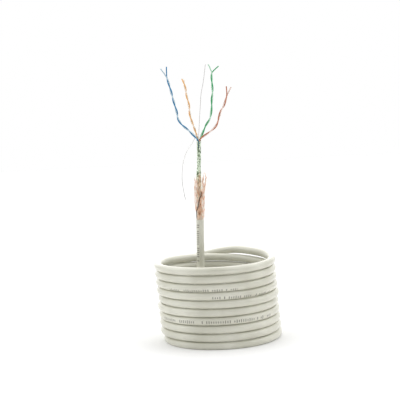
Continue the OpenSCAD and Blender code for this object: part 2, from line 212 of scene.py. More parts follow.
# Clouds of tone, then ink where three things meet: a bar at each step along, a band round the cable as tall
# as that tick's random number says, and a run of the cable that has a row
def jacketMaterial(look, rows, diameter):
    material, tree = emptyMaterial("pvcJacket")
    place = addNode(tree, "ShaderNodeTexCoord")
    cloud = addNode(tree, "ShaderNodeTexNoise", {
        "Vector": place.outputs["Object"], "Scale": 1 / (look["cloud"] * mm), "Detail": 3.0})
    tone = addNode(tree, "ShaderNodeValToRGB", {"Fac": cloud}, look["tones"])
    uv = addNode(tree, "ShaderNodeSeparateXYZ", {"Vector": place.outputs["UV"]})
    along = uv.outputs["X"]
    group = addNode(tree, "ShaderNodeMath", {0: along, 1: look["group"]}, operation="DIVIDE")
    count = addNode(tree, "ShaderNodeMath", {0: along, 1: look["tick"]}, operation="DIVIDE")
    spot = addNode(tree, "ShaderNodeMath", {0: count}, operation="FRACT")
    off = addNode(tree, "ShaderNodeMath", {0: spot, 1: 0.5}, operation="SUBTRACT")
    half = look["tickWidth"] / look["tick"] / 2
    bar = addNode(tree, "ShaderNodeMapRange", {
        "Value": addNode(tree, "ShaderNodeMath", {0: off}, operation="ABSOLUTE"),
        "From Min": half * (1 - look["tickSoft"]), "From Max": half * (1 + look["tickSoft"]),
        "To Min": look["wear"], "To Max": 0.0})
    for number, share in zip((group, count), look["missing"]):
        whole = addNode(tree, "ShaderNodeMath", {0: number}, operation="FLOOR")
        lot = addNode(tree, "ShaderNodeTexWhiteNoise", {"W": whole}, noise_dimensions="1D").outputs["Value"]
        kept = addNode(tree, "ShaderNodeMath", {0: lot, 1: share}, operation="GREATER_THAN")
        bar = addNode(tree, "ShaderNodeMath", {0: bar, 1: kept}, operation="MULTIPLY")
    low, high = look["tickHalf"]
    tall = addNode(tree, "ShaderNodeMath", {0: lot, 1: high - low, 2: low}, operation="MULTIPLY_ADD")
    degrees = addNode(tree, "ShaderNodeMath", {0: uv.outputs["Y"], 1: 360.0}, operation="MULTIPLY")
    for start, end, angle0, angle1 in rows:
        slope = (angle1 - angle0) / (end - start)
        angle = addNode(tree, "ShaderNodeMath", {
            0: along, 1: slope, 2: angle0 - slope * start}, operation="MULTIPLY_ADD")
        away = addNode(tree, "ShaderNodeMath", {0: degrees, 1: angle}, operation="SUBTRACT")
        away = addNode(tree, "ShaderNodeMath", {0: away, 1: 180.0, 2: -180.0}, operation="WRAP")
        away = addNode(tree, "ShaderNodeMath", {0: away}, operation="ABSOLUTE")
        away = addNode(tree, "ShaderNodeMath", {0: away, 1: math.pi * diameter / 360}, operation="MULTIPLY")
        band = addNode(tree, "ShaderNodeMapRange", {
            "Value": addNode(tree, "ShaderNodeMath", {0: away, 1: tall}, operation="SUBTRACT"),
            "From Min": -look["edgeSoft"], "From Max": look["edgeSoft"], "To Min": 1.0, "To Max": 0.0})
        run = addNode(tree, "ShaderNodeMath", {
            0: along, 1: (start + end) / 2, 2: (end - start) / 2}, operation="COMPARE")
        mark = addNode(tree, "ShaderNodeMath", {0: band, 1: run}, operation="MULTIPLY")
        tone = addNode(tree, "ShaderNodeMix", {
            "Factor": addNode(tree, "ShaderNodeMath", {0: mark, 1: bar}, operation="MULTIPLY"),
            "A": tone, "B": linear(look["ink"])}, data_type="RGBA")
    peel = addNode(tree, "ShaderNodeTexNoise", {
        "Vector": place.outputs["Object"], "Scale": 1 / (look["peel"] * mm), "Detail": 2.0})
    bump = addNode(tree, "ShaderNodeBump", {
        "Height": peel, "Strength": 0.25, "Distance": look["peelDepth"] * mm})
    shader = addNode(tree, "ShaderNodeBsdfPrincipled", {
        "Base Color": tone, "Roughness": 0.25, "Specular IOR Level": 0.5, "Normal": bump})
    addNode(tree, "ShaderNodeOutputMaterial", {"Surface": shader})
    return material


# Cable: riser, lead-in, stack of turns and tail, as the CAD source has them, in mm
cable = {
    "radius": 3.5, "bore": 2.66, "sides": 28, "ringStep": 3.2,
    "turns": 10, "coilRadius": 51.3, "pitch": 7.25, "axis": (1.8, -3.6), "lean": 3.2,
    "startTuck": 2.6, "floor": 2.708, "level": 0.25, "firstTurn": -0.25,
    "sway": [(4.0, -0.8), (5.0, 1.1)], "swayOver": 0.6,  # turns that sit a little to one side
    "lift": 8.1, "dropRate": 800.0, "tail": 6.0,
    # parts of a turn before the last one's end: where it lifts, rolls over, drops and is cut, over how much
    "liftFrom": 0.765, "liftOver": 0.11, "rollFrom": 0.625, "rollOver": 0.19,
    "dropFrom": 0.48, "cutFrom": 0.38,
    "cutSteps": 30, "samples": 1200,  # steps that a turn's end is rounded to, and points of the turns
    "riserX": -13.3, "riserY": -3.0, "riserLean": 1.8, "riserPoints": 12, "foot": 71.0, "cut": 107.8,
    "mouthDepth": 5.5, "mouthLip": 1.0, "mouthEdge": 0.15,  # how far the open ends turn in, and their edges
    "ragged": [(0.22, 1, 0.6), (0.08, 3, 0.0), (0.05, 7, 1.0)],  # hand-cut edge: depth, waves, shift
    "raggedReach": 0.6,
    "leadIn": [
        (-38.5, 22, 2.7), (-31, 29.5, 2.7), (-21.5, 34.5, 2.7), (-11, 37, 2.7), (0, 37.5, 2.7),
        (11, 36, 2.7), (21, 32, 2.7), (30, 25.5, 2.7), (36.5, 16.5, 2.7), (40, 6, 2.7), (40.5, -5, 3),
        (38, -15.5, 4), (32.5, -25, 6), (24, -32, 9), (13.5, -35.5, 13), (3, -34.5, 18.5),
        (-6, -30, 25.5), (-12, -22.5, 33), (-14.8, -14, 42), (-15.4, -7, 52),
    ],
}


def ease(s):  # from 0 to 1 along a cubic that is level at both ends
    s = np.clip(s, 0.0, 1.0)
    return s * s * (3 - 2 * s)


def outward(u):  # away from the coil's middle at a turn, which starts in front and goes to the right
    return np.stack([np.sin(fullTurn * u), -np.cos(fullTurn * u), 0 * u], axis=-1)


def woundPoint(u, c):  # level from the left to the front of each turn, then one pitch up over the rest
    k = np.floor(u - c["firstTurn"])
    s = np.maximum(0.0, (u - c["firstTurn"] - k - c["level"]) / (1 - c["level"]))
    z = c["floor"] + c["pitch"] * (k + s - np.sin(fullTurn * s) / fullTurn)
    r = c["coilRadius"] - c["startTuck"] * (np.minimum(u, 0) / c["firstTurn"]) ** 2
    x = c["axis"][0] - math.tan(math.radians(c["lean"])) * z
    for turn, aside in c["sway"]:
        x = x + aside * (1 - ease(np.abs(u - turn) / c["swayOver"]))
    return np.stack([x, c["axis"][1] + 0 * u, z], axis=-1) + r[:, None] * outward(u)


def tailPoint(u, c):  # the last turn lifts off the one below, rolls over it and drops behind it
    past = u - c["turns"]
    room = c["pitch"] + (c["lift"] - c["pitch"]) * ease((past + c["liftFrom"]) / c["liftOver"])
    roll = math.pi / 2 * (1 - ease((past + c["rollFrom"]) / c["rollOver"]))
    drop = c["dropRate"] * np.maximum(0.0, past + c["dropFrom"]) ** 2
    rise = np.stack([0 * u, 0 * u, room * np.sin(roll) - drop], axis=-1)
    return woundPoint(u - 1, c) + (room * np.cos(roll))[:, None] * outward(u) + rise


def riserPoint(z, c):  # the riser's leaning axis at a height
    z = np.asarray(z, float)
    x = c["riserX"] + math.tan(math.radians(c["riserLean"])) * (z - c["cut"])
    return np.stack([x, c["riserY"] + 0 * z, z], axis=-1)


# Down the riser, round a smooth curve to the floor, up the turns and straight out at the tail; also gives the
# distance along at a turn, and the tail's direction
def cablePath(c):
    steps = round((c["turns"] - c["cutFrom"] - c["firstTurn"]) * c["cutSteps"])
    u = np.linspace(c["firstTurn"], steps / c["cutSteps"] + c["firstTurn"], c["samples"])
    lifted = (u > c["turns"] - c["liftFrom"])[:, None]
    turns = np.where(lifted, tailPoint(u, c), woundPoint(u, c))
    startDir = unit((turns[0] - turns[1]) * [1, 1, 0])
    endDir = unit(turns[-1] - turns[-2])
    width = 2 * c["radius"]
    start = turns[0] + width * startDir
    riser = riserPoint(np.linspace(c["cut"], c["foot"], c["riserPoints"]), c)
    riserDir = unit(riser[0] - riser[-1])
    knots = [riser[-2], riser[-1], riser[-1] - width * riserDir] + c["leadIn"][::-1]
    knots += [start + width * startDir, start, turns[0]]
    lead = smoothThrough(knots)[spanSteps:-spanSteps]  # the first and last spans only steer the curve
    tail = turns[-1] + endDir * np.array([[width], [width + c["tail"]]])
    path = np.concatenate([riser[:-1], lead, turns, tail])
    turnsAt = distanceAlong(path)[len(riser) - 1 + len(lead):-2]
    return evenly(path, c["ringStep"]), lambda turn: float(np.interp(turn, u, turnsAt)), endDir


cableLine, placeOfTurn, tailDir = cablePath(cable)
tickRows = [  # start and end along the cable, and the angle of the row from outwards, downwards
    (2.0, 38.0, -56.0, -50.0),
    (placeOfTurn(2.81), placeOfTurn(3.15), 4.0, 10.0),
    (placeOfTurn(5.98), placeOfTurn(6.18), 18.0, 46.0),
    (placeOfTurn(6.86), placeOfTurn(7.05), 40.0, 34.0),
]


def makeJacket(c, path):  # a tube whose profile turns in at both ends, down into the bore
    r, bore, edge, total = c["radius"], c["bore"], c["mouthEdge"], distanceAlong(path)[-1]
    mouth = np.array([
        (c["mouthDepth"], bore), (c["mouthLip"], bore), (edge, bore),
        (0, bore + edge / 2), (0, r - edge), (edge, r)])
    body = np.arange(c["ringStep"] / 2, total - c["ringStep"] / 3, c["ringStep"])
    s = np.concatenate([mouth[:, 0], body, total - mouth[::-1, 0]])
    radius = np.concatenate([mouth[:, 1], 0 * body + r, mouth[::-1, 1]])
    line = pointsAt(path, s)
    t = unit(np.stack([np.interp(s, distanceAlong(path), d) for d in np.gradient(path, axis=0).T], axis=1))
    n = squareTo(t, (line - [*c["axis"], 0.0]) * [1, 1, 0])
    grid = ringsOn(line, n, np.cross(t, n), radius[:, None], c["sides"])
    a = fullTurn * np.arange(c["sides"]) / c["sides"]
    ragged = sum(deep * np.sin(waves * a + shift) for deep, waves, shift in c["ragged"])
    near = np.exp(-(s / c["raggedReach"]) ** 2)[:, None, None]
    grid = grid + near * ragged[None, :, None] * t[:, None]
    grid[..., 2] = np.maximum(grid[..., 2], 0.0)  # the flat that it stands on
    return addTube("cableJacket", grid, s, jacketMaterial(jacketLook, tickRows, 2 * r))


jacket = makeJacket(cable, cableLine)
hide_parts("coil_jacket", "lead_in_jacket", "riser_jacket", "tail_jacket")


# Wires: four twisted pairs, each a white wire and a coloured one
wires = {
    "radius": 0.5, "hole": 0.27, "copper": 0.25, "sides": 12, "copperSides": 8, "step": 0.8,
    "turnedIn": 3,  # rings of an open end that line its hole
    "twist": 0.53, "seat": (0.72, 1.13), "mouth": 177.5,  # pairs lie straight and close together in the foil
    "straight": (12, 5),  # mm below the mouth, points that keep them straight
    "forkCurve": 1.3,  # power of the distance up the fork that the tips part with
    "tailApart": (0.145, 0.58), "tailSides": 16, "tailRings": 8,
    "pairs": {
        # side of the seat, tip spread, length of the fork, then the coloured wire's angle at distances
        # below the fork (it is behind its mate at 90 degrees), colours and route
        "blue": {
            "side": (-1, -1), "spread": 2.8, "fork": 8.0, "code": "#1E84B6", "mate": "#C2DAE6",
            "turns": [(-2.8, 0), (1.5, 90), (19.5, 450), (38, 810), (55, 1170), (66, 1364)],
            "route": [(-12.3, -4.2, 180), (-14.6, -4.1, 183), (-19.5, -4.5, 188.5), (-25, -6, 193.5),
                      (-28.5, -7.5, 199), (-29.5, -9, 205.5), (-32, -12.5, 216.5), (-33.5, -14.5, 223.5),
                      (-36, -18.5, 234), (-39, -22, 244.5)],
        },
        "orange": {
            "side": (-1, 1), "spread": 1.3, "fork": 5.0, "code": "#F9BE74", "mate": "#FFF2E0",
            "turns": [(-1.7, 230), (8, 450), (25.5, 810), (41.5, 1170), (54, 1516)],
            "route": [(-12.2, -1.8, 180.5), (-14, 0, 189), (-16.5, 2, 196), (-18, 4, 203),
                      (-18.5, 6.5, 211.5), (-20, 9.5, 219.5), (-21, 12, 226.5), (-23, 15.5, 235.5)],
        },
        "green": {
            "side": (1, 1), "spread": 4.8, "fork": 7.0, "code": "#1EAE66", "mate": "#BEEACC",
            "turns": [(-2.4, 0), (0.5, 90), (20, 450), (44, 810), (66, 1184)],
            "route": [(-9.9, -1.8, 180.5), (-7, -0.5, 186.5), (-4, 1, 192.5), (-0.5, 2.5, 197.5),
                      (1, 4, 202.5), (2, 6, 209), (2.5, 8, 215.5), (3.5, 10.5, 223), (3.5, 16.5, 238),
                      (5.5, 19.5, 247)],
        },
        "brown": {
            "side": (1, -1), "spread": 2.2, "fork": 7.0, "code": "#CA7C58", "mate": "#F8E2D8",
            "turns": [(-2.4, 180), (14.5, 450), (38.5, 810), (48.5, 976)],
            "route": [(-9.9, -4.2, 180), (-6.5, -4, 183), (-3, -4, 185), (0.5, -4.5, 187.5), (4, -5.5, 190.5),
                      (6.5, -6.5, 194.5), (8, -7.5, 199.5), (10, -9, 205), (12.5, -10.5, 209),
                      (14.5, -12, 214.5), (16, -13.5, 219), (17.5, -16, 225.5)],
        },
    },
}
insulation = {
    "drift": 6.0, "shade": 0.82,  # mm, size of the drift in tint, and how dark it gets
    "skin": 0.3, "skinDepth": 0.01,  # mm
    "stripe": (0.09, 0.13), "stripeInk": 0.8,  # share of the way round from its middle to its soft edge
}
across = (1.0, 0.0, 0.0)  # the direction that the wires' rings start from


def strippedPath(seat, route, step, c):  # straight up inside the foil, then on along a route
    mouth = wires["mouth"]
    heights = np.array([c["foot"], *(mouth - low for low in wires["straight"]), mouth])
    inside = riserPoint(heights, c) + [*seat, 0.0]
    bent = smoothThrough(np.concatenate([inside[1:], np.array(route, float)]))
    return evenly(np.concatenate([inside[:1], bent]), step)


# Two wires on opposite sides of a pair's path, at an angle that turns along it and a distance that grows
# as a power of the way up the fork
def wirePaths(w, p, c):
    path = strippedPath(np.multiply(p["side"], w["seat"]), p["route"], w["step"], c)
    n, b = crossAxes(path, across)
    below = distanceAlong(path)[-1] - p["fork"] - distanceAlong(path)
    a = np.radians(np.interp(below, *np.array(p["turns"], float).T))[:, None]
    apart = np.clip(-below / p["fork"], 0.0, 1.0)
    r = (w["twist"] + (p["spread"] - w["twist"]) * apart ** w["forkCurve"])[:, None]
    away = r * (np.cos(a) * n + np.sin(a) * b)
    return path + away, path - away


# Extruded polyethylene: satin, with a faint drift in its tint, and on a white wire a thin line of its mate's
# colour where the way round is near a half
def insulationMaterial(name, code, stripe=None):
    material, tree = emptyMaterial(name)
    place = addNode(tree, "ShaderNodeTexCoord")
    drift = addNode(tree, "ShaderNodeTexNoise", {
        "Vector": place.outputs["Object"], "Scale": 1 / (insulation["drift"] * mm), "Detail": 2.0})
    base = linear(code)
    shade = tuple(x * insulation["shade"] for x in base[:3]) + (1.0,)
    tone = addNode(tree, "ShaderNodeMix", {"Factor": drift, "A": shade, "B": base}, data_type="RGBA")
    if stripe:
        uv = addNode(tree, "ShaderNodeSeparateXYZ", {"Vector": place.outputs["UV"]})
        away = addNode(tree, "ShaderNodeMath", {0: uv.outputs["Y"], 1: 0.5}, operation="SUBTRACT")
        band = addNode(tree, "ShaderNodeMapRange", {
            "Value": addNode(tree, "ShaderNodeMath", {0: away}, operation="ABSOLUTE"),
            "From Min": insulation["stripe"][0], "From Max": insulation["stripe"][1],
            "To Min": insulation["stripeInk"], "To Max": 0.0})
        tone = addNode(tree, "ShaderNodeMix", {
            "Factor": band, "A": tone, "B": linear(stripe)}, data_type="RGBA")
    skin = addNode(tree, "ShaderNodeTexNoise", {
        "Vector": place.outputs["Object"], "Scale": 1 / (insulation["skin"] * mm), "Detail": 2.0})
    bump = addNode(tree, "ShaderNodeBump", {
        "Height": skin, "Strength": 0.2, "Distance": insulation["skinDepth"] * mm})
    shader = addNode(tree, "ShaderNodeBsdfPrincipled", {
        "Base Color": tone, "Roughness": 0.45, "Specular IOR Level": 0.3, "Normal": bump})
    addNode(tree, "ShaderNodeOutputMaterial", {"Surface": shader})
    return material


fadeSwing = 0.4  # how far a fade moves the tone either way


# A finish that drifts between a few tones in spots of a size in mm; between the two heights of a fade it
# goes from the first tone to the last
def mottledMaterial(name, size, stops, fade=None, **sockets):
    material, tree = emptyMaterial(name)
    place = addNode(tree, "ShaderNodeTexCoord")
    spots = addNode(tree, "ShaderNodeTexNoise", {
        "Vector": place.outputs["Object"], "Scale": 1 / (size * mm), "Detail": 3.0})
    if fade:
        height = addNode(tree, "ShaderNodeSeparateXYZ", {"Vector": place.outputs["Object"]}).outputs["Z"]
        shift = addNode(tree, "ShaderNodeMapRange", {
            "Value": height, "From Min": fade[0] * mm, "From Max": fade[1] * mm,
            "To Min": -fadeSwing, "To Max": fadeSwing})
        spots = addNode(tree, "ShaderNodeMath", {0: spots, 1: shift}, operation="ADD")
    tone = addNode(tree, "ShaderNodeValToRGB", {"Fac": spots}, stops)
    shader = addNode(tree, "ShaderNodeBsdfPrincipled", {"Base Color": tone, **sockets})
    addNode(tree, "ShaderNodeOutputMaterial", {"Surface": shader})
    return material


# Drawn copper wire: pink metal, a little dulled in places
copper = mottledMaterial("bareCopper", 2.5, [(0.35, "#D8A488"), (0.65, "#F3D2BF")],
                         Metallic=0.6, Roughness=0.42)


def addWire(name, path, w, sides, material):  # tube round its copper, turned in for a little at both ends
    s = distanceAlong(path)
    outer = ringGrid(path, across, w["radius"], sides)
    inner = ringGrid(path, across, w["hole"], sides)
    k = w["turnedIn"]
    grid = np.concatenate([inner[:k][::-1], outer, inner[-k:][::-1]])
    along = np.concatenate([s[:k][::-1], s, s[-k:][::-1]])
    return addTube(name, grid, along, material)


for color, p in wires["pairs"].items():
    paths = wirePaths(wires, p, cable)
    looks = (insulationMaterial(color + "Polyethylene", p["code"]),
             insulationMaterial(color + "MatePolyethylene", p["mate"], p["code"]))
    for role, path, look in zip(("", "_mate"), paths, looks):
        name = color + ("Mate" if role else "")
        wire = addWire(name + "Wire", path, wires, wires["sides"], look)
        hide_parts(f"{color}{role}_insulation")
        core = addTube(name + "Copper", ringGrid(path, across, wires["copper"], wires["copperSides"]),
                       distanceAlong(path), copper)
        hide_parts(f"{color}{role}_conductor")


# Thin strands that leave the foil with the pairs
strands = {"step": 0.5, "sides": 12}
thread = {
    "radius": 0.24, "lobes": 2, "lay": 2.4, "depth": 0.16, "seat": (0.0, 0.3),
    "route": [(-10.9, -2.7, 181.5), (-10.8, -2.5, 185), (-9.5, -1.5, 198.5), (-8, -0.5, 212.5), (-7, 0, 221),
              (-5, 0.5, 229.5), (-3.5, 1, 237.5), (-2, 2, 247)],
}
drain = {
    "radius": 0.25, "lobes": 6, "lay": 7.0, "depth": 0.06, "seat": (0.0, -0.3),
    "route": [(-11.1, -3.3, 180), (-11.5, -3, 182.2), (-12.4, -2.7, 183.9), (-13.6, -2.5, 184.1),
              (-14.6, -2.6, 182.7), (-15.3, -2.9, 180.6), (-16.4, -3.2, 178.2), (-18.2, -3.5, 175.6),
              (-20.8, -4, 172.5), (-24.5, -5.5, 165), (-26.5, -7, 157.5), (-27.5, -8, 149.5),
              (-27.5, -9.5, 141.5), (-26, -11.5, 130.5), (-25, -12, 127)],
}
# Spun polyester: soft and pale, with a sheen
threadFinish = mottledMaterial("spunPolyester", 0.4, [(0.3, "#A6A29F"), (0.7, "#C8C4C0")],
                               **{"Roughness": 0.8, "Sheen Weight": 0.3})
# Tinned copper: grey-white metal with a soft shine, duller towards its end
tinFinish = mottledMaterial("tinnedCopper", 2.0, [(0.1, "#B6B4B1"), (0.9, "#F8F6F3")], (147, 168),
                            Metallic=0.4, Roughness=0.45)


def addStrand(name, t, material):  # a cosine's lobes round the section, turned along the path as plies are
    path = strippedPath(t["seat"], t["route"], strands["step"], cable)
    s = distanceAlong(path)
    a = fullTurn * np.arange(strands["sides"]) / strands["sides"]
    ply = t["lobes"] * (a[None] - fullTurn * s[:, None] / t["lay"])
    r = t["radius"] * (1 - t["depth"] * (1 - np.cos(ply)))
    piece = addTube(name, ringGrid(path, (0.0, 1.0, 0.0), r, strands["sides"]), s, material)
    return piece


ripCord = addStrand("ripCord", thread, threadFinish)
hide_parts("rip_cord")
drainWire = addStrand("drainWire", drain, tinFinish)
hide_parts("drain_wire")
print("rip cord and drain wire laid")


# Foil: an aluminium and polyester strip, lapped round the pairs, crumpled, torn at its mouth
foil = {
    "half": (1.48, 2.3), "square": 3.2,  # mm, half widths of its section, and how square that is
    "loose": (0.2, 0.45), "looseTop": 156.0, "looseFade": 8.0,  # mm wider, above the cut and low down
    "deeper": 0.2,  # share of that width that it is deeper by
    "looseFrom": 2.0, "looseOver": 6.0,  # mm below the cut where it starts to be loose, and over how many
    "bow": 0.45, "bowStart": 15.0, "bowTop": 170.0, "bowEnd": 22.0,  # mm, a sag to the left
    "spiral": 0.06, "lap": 400, "wall": 0.05, "top": 179.5,
    "columns": 97, "hiddenRings": 8, "hiddenTop": 4.0,  # mm below the cut, where the wide rings end
    "rings": 170, "ringsFrom": 3.5,  # mm below the cut, where the close rings start
    "flare": 0.2, "flareOver": 4.0,  # mm wider at its mouth
    "tear": [(0.9, 1, 0.3), (0.5, 3, 1.0), (0.25, 7, 0.0)],  # mm, waves of the torn edge
    "notch": 8.0, "notchOver": 9.0, "notchAt": 261.0, "notchWidth": 6.0,  # mm, degrees: a tear in front
    "crumple": 0.14, "foldLevel": 0.2,  # mm, depth of the creases, and the share of it that lies inwards
    # slanting waves: times round, radians per mm up, shift; they wander by the last two numbers
    "waves": [(5, 1.9, 0.4), (-4, 2.7, 1.3), (7, -3.3, 2.2), (3, 4.6, 0.1), (-9, 5.2, 2.9), (11, 1.2, 4.4)],
    "wander": (0.7, 0.9),
    "facet": 1.2, "smear": 1.4, "facetShare": 0.35,  # mm, and how much of the tone is the facet's own
    # the spread of these tones, dark to near white, is partly painted reflection of crumpled foil
    "tones": [(0.27, "#5C7056"), (0.46, "#BACEAE"), (0.66, "#F4FDEC")],
    "warmTones": [(0.3, "#86744E"), (0.46, "#EAD8B4"), (0.62, "#FFF3DC")],  # where copper has rubbed off
    "warmTop": 151.0, "warmFade": 8.0, "warmMost": 0.8,  # mm, low down
    "mouthShadow": "#35504F", "mouthShadowMost": 0.85,  # painted shadow in front of the mouth, round the notch
    "mouthShadowAt": (-11.5, -5.3, 173.9), "mouthShadowSize": (0.75, 1.2, 2.4),  # mm
    "mouthShadowEdge": (0.6, 1.1),  # share of its size
}


# Rolled aluminium under a clear film, greyed, a little green: facets about as wide as the creases are apart,
# each with a tone and a tilt of its own, under a smear that drifts; the spread of tone from dark to near
# white is partly painted reflection of the crumpled foil, and a dark patch at the mouth is painted shadow
def foilMaterial(f):
    material, tree = emptyMaterial("aluminiumFoil")
    place = addNode(tree, "ShaderNodeTexCoord").outputs["Object"]
    facet = addNode(tree, "ShaderNodeTexVoronoi", {
        "Vector": place, "Scale": 1 / (f["facet"] * mm)}, feature="F1")
    smear = addNode(tree, "ShaderNodeTexNoise", {
        "Vector": place, "Scale": 1 / (f["smear"] * mm), "Detail": 3.0})
    own = addNode(tree, "ShaderNodeSeparateXYZ", {"Vector": facet.outputs["Color"]})
    mottle = addNode(tree, "ShaderNodeMix", {
        "Factor": f["facetShare"], "A": smear, "B": own}, data_type="FLOAT")
    tone = addNode(tree, "ShaderNodeValToRGB", {"Fac": mottle}, f["tones"])
    warm = addNode(tree, "ShaderNodeValToRGB", {"Fac": mottle}, f["warmTones"])
    low = addNode(tree, "ShaderNodeMapRange", {
        "Value": addNode(tree, "ShaderNodeSeparateXYZ", {"Vector": place}).outputs["Z"],
        "From Min": (f["warmTop"] - f["warmFade"]) * mm, "From Max": f["warmTop"] * mm,
        "To Min": f["warmMost"], "To Max": 0.0})
    tone = addNode(tree, "ShaderNodeMix", {"Factor": low, "A": tone, "B": warm}, data_type="RGBA")
    # painted shadow: a dark teal patch round the notch in front of the mouth, where the pairs leave the foil
    # in shade
    away = addNode(tree, "ShaderNodeVectorMath", {
        0: place, 1: np.array(f["mouthShadowAt"]) * mm}, operation="SUBTRACT")
    away = addNode(tree, "ShaderNodeVectorMath", {
        0: away, 1: np.array(f["mouthShadowSize"]) * mm}, operation="DIVIDE")
    away = addNode(tree, "ShaderNodeVectorMath", {0: away}, operation="LENGTH").outputs["Value"]
    paintedShadow = addNode(tree, "ShaderNodeMapRange", {
        "Value": away, "From Min": f["mouthShadowEdge"][0], "From Max": f["mouthShadowEdge"][1],
        "To Min": f["mouthShadowMost"], "To Max": 0.0})
    tone = addNode(tree, "ShaderNodeMix", {
        "Factor": paintedShadow, "A": tone, "B": linear(f["mouthShadow"])}, data_type="RGBA")
    aside = addNode(tree, "ShaderNodeVectorMath", {
        0: place, 1: facet.outputs["Position"]}, operation="SUBTRACT")
    slope = addNode(tree, "ShaderNodeVectorMath", {
        0: facet.outputs["Color"], 1: (0.5, 0.5, 0.5)}, operation="SUBTRACT")
    tilt = addNode(tree, "ShaderNodeVectorMath", {0: aside, 1: slope}, operation="DOT_PRODUCT")
    bump = addNode(tree, "ShaderNodeBump", {
        "Height": tilt.outputs["Value"], "Strength": 1.0, "Distance": 1.0})
    shader = addNode(tree, "ShaderNodeBsdfPrincipled", {
        "Base Color": tone, "Metallic": 0.75, "Roughness": 0.34, "Normal": bump})
    addNode(tree, "ShaderNodeOutputMaterial", {"Surface": shader})
    return material


# A strip wound as an oval spiral: a superellipse that is wider where it hangs loose, plus creases where the
# absolute sines of slanting waves fold; at its mouth it flares, its edge is a sum of sines, and a bell curve
# round its front cuts the notch
def makeFoil(f, c):
    a = np.radians(np.linspace(0, f["lap"], f["columns"]))[None, :]
    hidden = np.linspace(c["foot"], c["cut"] - f["hiddenTop"], f["hiddenRings"])
    close = np.linspace(c["cut"] - f["ringsFrom"], f["top"], f["rings"])
    h = np.concatenate([hidden, close])[:, None]
    loose = ease((h - c["cut"] + f["looseFrom"]) / f["looseOver"])
    flare = ease((h - f["top"] + f["flareOver"]) / f["flareOver"])
    far, pace = f["wander"]
    fold = sum(np.abs(np.sin((k * a + q * h + shift) / 2 + far * np.sin(pace * q * h - a)))
               for k, q, shift in f["waves"])
    fold = fold / len(f["waves"]) - f["foldLevel"]
    low = ease((f["looseTop"] - h) / f["looseFade"])
    wide = loose * (f["loose"][0] + f["loose"][1] * low) + f["flare"] * flare
    flat = np.abs(np.cos(a) / (f["half"][0] + wide))
    deep = np.abs(np.sin(a) / (f["half"][1] + f["deeper"] * wide))
    r = (flat ** f["square"] + deep ** f["square"]) ** (-1 / f["square"])
    r = r + f["spiral"] * a / fullTurn + loose * f["crumple"] * fold
    tear = sum(high * np.sin(k * a + shift) for high, k, shift in f["tear"])
    notch = f["notch"] * np.exp(-((np.degrees(a) - f["notchAt"]) / f["notchWidth"]) ** 2)
    z = h + flare * tear - notch * np.clip((h - f["top"] + f["notchOver"]) / f["notchOver"], 0, 1)
    bow = f["bow"] * ease((h - c["cut"]) / f["bowStart"]) * ease((f["bowTop"] - h) / f["bowEnd"])
    grid = riserPoint(z, c) + np.stack([r * np.cos(a) - bow, r * np.sin(a), 0 * r], axis=-1)
    quads = gridFaces(*grid.shape[:2], False)
    piece = addPiece("foilWrap", grid, quads, np.zeros((quads.size, 2)), foilMaterial(f))
    wall = piece.modifiers.new("wall", "SOLIDIFY")
    wall.thickness = f["wall"] * mm
    wall.offset = -1.0
    return piece


foilWrap = makeFoil(foil, cable)
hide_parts("foil_shield")
print("foil wrapped")


